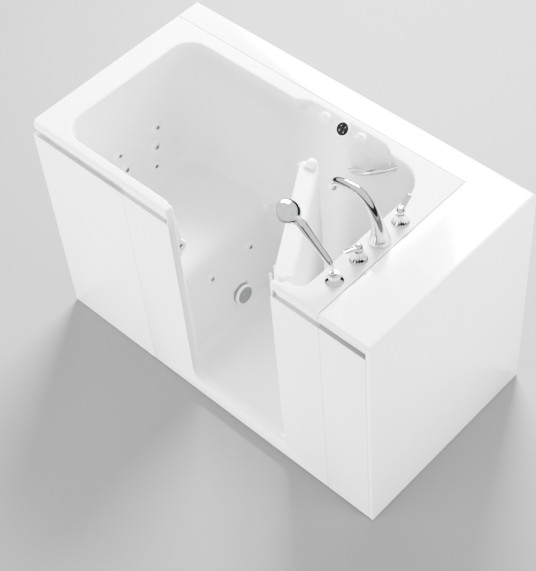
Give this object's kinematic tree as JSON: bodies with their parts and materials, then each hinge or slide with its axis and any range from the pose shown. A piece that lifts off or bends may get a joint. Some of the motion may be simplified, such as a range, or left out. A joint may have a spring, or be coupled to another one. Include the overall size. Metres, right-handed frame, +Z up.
{
  "type": "walk-in bathtub",
  "caption": "Walk-in jetted bath with an inward-opening side door, moulded seat, water jets, deck-mounted filler with hand shower, and a levelling steel frame.",
  "frame": {"origin": "on the floor under the centre of the whole bath's length and width", "axes": "+X along the bath towards the taps, -Y out through the doorway, +Z up"},
  "size_m": [1.524, 0.813, 1.1739],
  "materials": {
    "shell_acrylic": "glossy white cast acrylic",
    "deck_acrylic": "glossy white cast acrylic",
    "panel_acrylic": "glossy white acrylic sheet",
    "end_panel_acrylic": "glossy white acrylic sheet",
    "screw_steel": "stainless, turned",
    "frame_steel": "grey powder coat, satin",
    "foot_steel": "zinc plated",
    "hinge_steel": "stainless, satin",
    "bolt_steel": "stainless, satin",
    "jet_plastic": "white moulded plastic",
    "nozzle_plastic": "pale grey-white moulded plastic",
    "cover_plastic": "pale grey moulded plastic",
    "pipe_plastic": "white rigid pipe",
    "air_hose": "pale flexible hose",
    "pump_plastic": "black glass-filled plastic",
    "motor_paint": "dark enamel",
    "control_plastic": "white moulded plastic",
    "knob_plastic": "white moulded plastic",
    "button_plastic": "black rubber-touch plastic",
    "box_plastic": "black moulded plastic",
    "chrome": "polished chrome plate",
    "spray_plastic": "grey moulded plastic",
    "valve_brass": "cast brass, dull",
    "supply_copper": "drawn copper tube",
    "door_acrylic": "glossy white cast acrylic",
    "seal_rubber": "pale grey silicone, matt",
    "handle_plastic": "white moulded plastic"
  },
  "bodies": {
    "tub": {"tub_shell": "shell_acrylic", "deck_extension": "deck_acrylic", "front_panel_center": "panel_acrylic", "front_panel_left": "panel_acrylic", "front_panel_right": "panel_acrylic", "end_panel_right": "end_panel_acrylic", "screws": "screw_steel", "base_frame": "frame_steel", "upper_frame": "frame_steel", "seat_supports": "frame_steel", "leveling_feet": "foot_steel", "hinge_brackets": "hinge_steel", "hinge_pins": "screw_steel", "latch_strike": "hinge_steel", "jet_bodies": "jet_plastic", "jet_manifold": "pipe_plastic", "air_lines": "air_hose", "suction_pipe": "pipe_plastic", "suction_body": "jet_plastic", "suction_cover": "cover_plastic", "pump_wet_end": "pump_plastic", "pump_motor": "motor_paint", "control_bezel": "control_plastic", "control_box": "box_plastic", "air_control_bodies": "control_plastic", "drain_flange": "chrome", "drain_pipe": "pipe_plastic", "spout": "chrome", "spout_aerator": "spray_plastic", "tap_escutcheons": "chrome", "tap_valves": "valve_brass", "shower_holder": "chrome", "grab_bar": "chrome", "supply_pipes": "supply_copper"},
    "door": {"door_outer_shell": "door_acrylic", "door_inner_shell": "door_acrylic", "door_seal": "seal_rubber", "door_knuckles": "hinge_steel"},
    "latch_handle": {"door_handle": "handle_plastic"},
    "latch_bolt": {"latch_bolt": "bolt_steel"},
    "hot_lever": {"hot_lever": "chrome"},
    "cold_lever": {"cold_lever": "chrome"},
    "hand_shower": {"shower_handle": "chrome", "shower_faceplate": "spray_plastic"},
    "air_knob_left": {"air_knob_left": "knob_plastic"},
    "air_knob_right": {"air_knob_right": "knob_plastic"},
    "drain_stopper": {"drain_stopper": "chrome"},
    "overflow_knob": {"overflow_knob": "chrome"},
    "jet_nozzle_1": {"jet_nozzle_1": "nozzle_plastic"},
    "jet_nozzle_2": {"jet_nozzle_2": "nozzle_plastic"},
    "jet_nozzle_3": {"jet_nozzle_3": "nozzle_plastic"},
    "jet_nozzle_4": {"jet_nozzle_4": "nozzle_plastic"},
    "jet_nozzle_5": {"jet_nozzle_5": "nozzle_plastic"},
    "jet_nozzle_6": {"jet_nozzle_6": "nozzle_plastic"},
    "jet_nozzle_7": {"jet_nozzle_7": "nozzle_plastic"},
    "jet_nozzle_8": {"jet_nozzle_8": "nozzle_plastic"},
    "pad_button_1": {"pad_button_1": "button_plastic"},
    "pad_button_2": {"pad_button_2": "button_plastic"},
    "pad_button_3": {"pad_button_3": "button_plastic"},
    "pad_button_4": {"pad_button_4": "button_plastic"}
  },
  "joints": [
    {"name": "door_hinge", "type": "hinge", "parent": "tub", "child": "door", "pos_m": [0.352, -0.348, 0.5], "axis": [0, 0, 1], "range_deg": [-32.5, 57.5]},
    {"name": "latch_turn", "type": "hinge", "parent": "door", "child": "latch_handle", "pos_m": [0.11474, 0.03559, 0.965], "axis": [0, 0, -1], "range_deg": [0, 90]},
    {"name": "bolt_slide", "type": "slide", "parent": "door", "child": "latch_bolt", "axis": [-0.5373, 0.8434, 0], "range_m": [0, 0.014]},
    {"name": "hot_turn", "type": "hinge", "parent": "tub", "child": "hot_lever", "pos_m": [0.5065, -0.159, 0.965], "axis": [0, 0, 1], "range_deg": [0, 90]},
    {"name": "cold_turn", "type": "hinge", "parent": "tub", "child": "cold_lever", "pos_m": [0.5065, 0.041, 0.965], "axis": [0, 0, 1], "range_deg": [0, 90]},
    {"name": "hand_shower_lift", "type": "slide", "parent": "tub", "child": "hand_shower", "axis": [-0.1736, 0, 0.9848], "range_m": [0, 0.2]},
    {"name": "air_turn_left", "type": "hinge", "parent": "tub", "child": "air_knob_left", "pos_m": [-0.00072, 0.25659, 0.941], "axis": [0, -0.7158, 0.6983], "range_deg": [0, 120]},
    {"name": "air_turn_right", "type": "hinge", "parent": "tub", "child": "air_knob_right", "pos_m": [0.15727, 0.25659, 0.941], "axis": [0, -0.7158, 0.6983], "range_deg": [0, 120]},
    {"name": "overflow_turn", "type": "hinge", "parent": "tub", "child": "overflow_knob", "pos_m": [0.44885, -0.059, 0.775], "axis": [-1, 0, 0], "range_deg": [0, 120]},
    {"name": "stopper_lift", "type": "slide", "parent": "tub", "child": "drain_stopper", "axis": [0, 0, 1], "range_m": [0, 0.009]},
    {"name": "jet_turn_1", "type": "hinge", "parent": "tub", "child": "jet_nozzle_1", "pos_m": [-0.647, 0.0355, 0.675], "axis": [1, 0, 0], "range_deg": [0, 90]},
    {"name": "jet_turn_2", "type": "hinge", "parent": "tub", "child": "jet_nozzle_2", "pos_m": [-0.647, 0.0175, 0.588], "axis": [1, 0, 0], "range_deg": [0, 90]},
    {"name": "jet_turn_3", "type": "hinge", "parent": "tub", "child": "jet_nozzle_3", "pos_m": [-0.647, -0.0005, 0.501], "axis": [1, 0, 0], "range_deg": [0, 90]},
    {"name": "jet_turn_4", "type": "hinge", "parent": "tub", "child": "jet_nozzle_4", "pos_m": [-0.647, -0.1535, 0.675], "axis": [1, 0, 0], "range_deg": [0, 90]},
    {"name": "jet_turn_5", "type": "hinge", "parent": "tub", "child": "jet_nozzle_5", "pos_m": [-0.647, -0.1355, 0.588], "axis": [1, 0, 0], "range_deg": [0, 90]},
    {"name": "jet_turn_6", "type": "hinge", "parent": "tub", "child": "jet_nozzle_6", "pos_m": [-0.647, -0.1175, 0.501], "axis": [1, 0, 0], "range_deg": [0, 90]},
    {"name": "jet_turn_7", "type": "hinge", "parent": "tub", "child": "jet_nozzle_7", "pos_m": [-0.2195, -0.16, 0.318], "axis": [0.9916, 0, 0.1294], "range_deg": [0, 90]},
    {"name": "jet_turn_8", "type": "hinge", "parent": "tub", "child": "jet_nozzle_8", "pos_m": [-0.2195, 0.042, 0.318], "axis": [0.9916, 0, 0.1294], "range_deg": [0, 90]},
    {"name": "pad_press_1", "type": "slide", "parent": "tub", "child": "pad_button_1", "axis": [0, 0.7158, -0.6983], "range_m": [0, 0.001], "stiffness_N_per_m": 300, "springref_m": -0.0005},
    {"name": "pad_press_2", "type": "slide", "parent": "tub", "child": "pad_button_2", "axis": [0, 0.7158, -0.6983], "range_m": [0, 0.001], "stiffness_N_per_m": 300, "springref_m": -0.0005},
    {"name": "pad_press_3", "type": "slide", "parent": "tub", "child": "pad_button_3", "axis": [0, 0.7158, -0.6983], "range_m": [0, 0.001], "stiffness_N_per_m": 300, "springref_m": -0.0005},
    {"name": "pad_press_4", "type": "slide", "parent": "tub", "child": "pad_button_4", "axis": [0, 0.7158, -0.6983], "range_m": [0, 0.001], "stiffness_N_per_m": 300, "springref_m": -0.0005}
  ],
  "couplings": [
    {"joint": "latch_turn", "follows": "bolt_slide", "rad_per_m": 112.2},
    {"joint": "stopper_lift", "follows": "overflow_turn", "m_per_rad": 0.004297}
  ]
}
